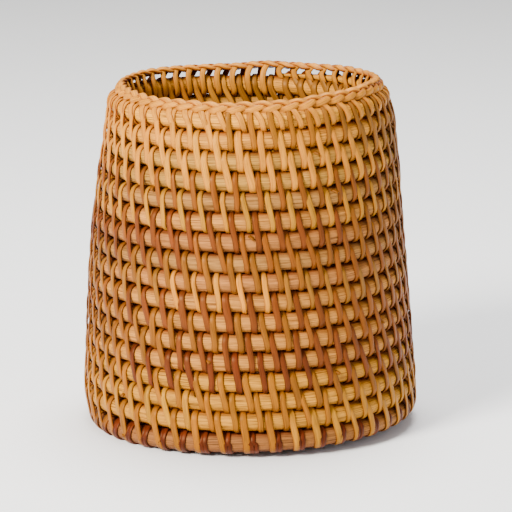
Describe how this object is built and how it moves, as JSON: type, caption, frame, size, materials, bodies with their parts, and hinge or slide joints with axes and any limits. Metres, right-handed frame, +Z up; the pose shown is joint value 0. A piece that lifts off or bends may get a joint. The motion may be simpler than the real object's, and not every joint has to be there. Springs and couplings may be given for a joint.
{
  "type": "coiled cane wastebasket",
  "caption": "Round open-topped wastebasket of coiled, lashed cane, slightly narrower at the plaited rim than at the foot.",
  "frame": {"origin": "middle of the resting plane, under the basket's axis", "axes": "+Z up along the basket's axis, -Y towards the front, +X to the right seen from the front"},
  "size_m": [0.2514, 0.251, 0.2632],
  "materials": {
    "core_cane": "bare round cane core, satin, fine lengthwise fibres",
    "cream_strip": "glossy cane peel, pale cream",
    "gold_strip": "glossy cane peel, golden",
    "amber_strip": "glossy cane peel, amber brown",
    "russet_strip": "glossy cane peel, dark red-brown"
  },
  "bodies": {
    "root": {"base_core": "core_cane", "wall_core_1": "core_cane", "wall_core_2": "core_cane", "wall_core_3": "core_cane", "wall_core_4": "core_cane", "wall_core_5": "core_cane", "binding_01": "cream_strip", "binding_02": "cream_strip", "binding_03": "cream_strip", "binding_04": "amber_strip", "binding_05": "gold_strip", "binding_06": "amber_strip", "binding_07": "amber_strip", "binding_08": "gold_strip", "binding_09": "cream_strip", "binding_10": "russet_strip", "binding_11": "amber_strip", "binding_12": "amber_strip", "binding_13": "russet_strip", "binding_14": "gold_strip", "binding_15": "gold_strip", "binding_16": "gold_strip", "binding_17": "russet_strip", "base_binding_1": "gold_strip", "base_binding_2": "gold_strip", "base_binding_3": "gold_strip", "base_binding_4": "gold_strip", "base_binding_5": "gold_strip", "base_binding_6": "gold_strip", "base_centre_loops": "amber_strip", "rim_loops": "cream_strip", "rim_plait_a": "cream_strip", "rim_plait_b": "gold_strip", "rim_plait_c": "cream_strip", "strip_ends": "gold_strip"}
  },
  "joints": []
}
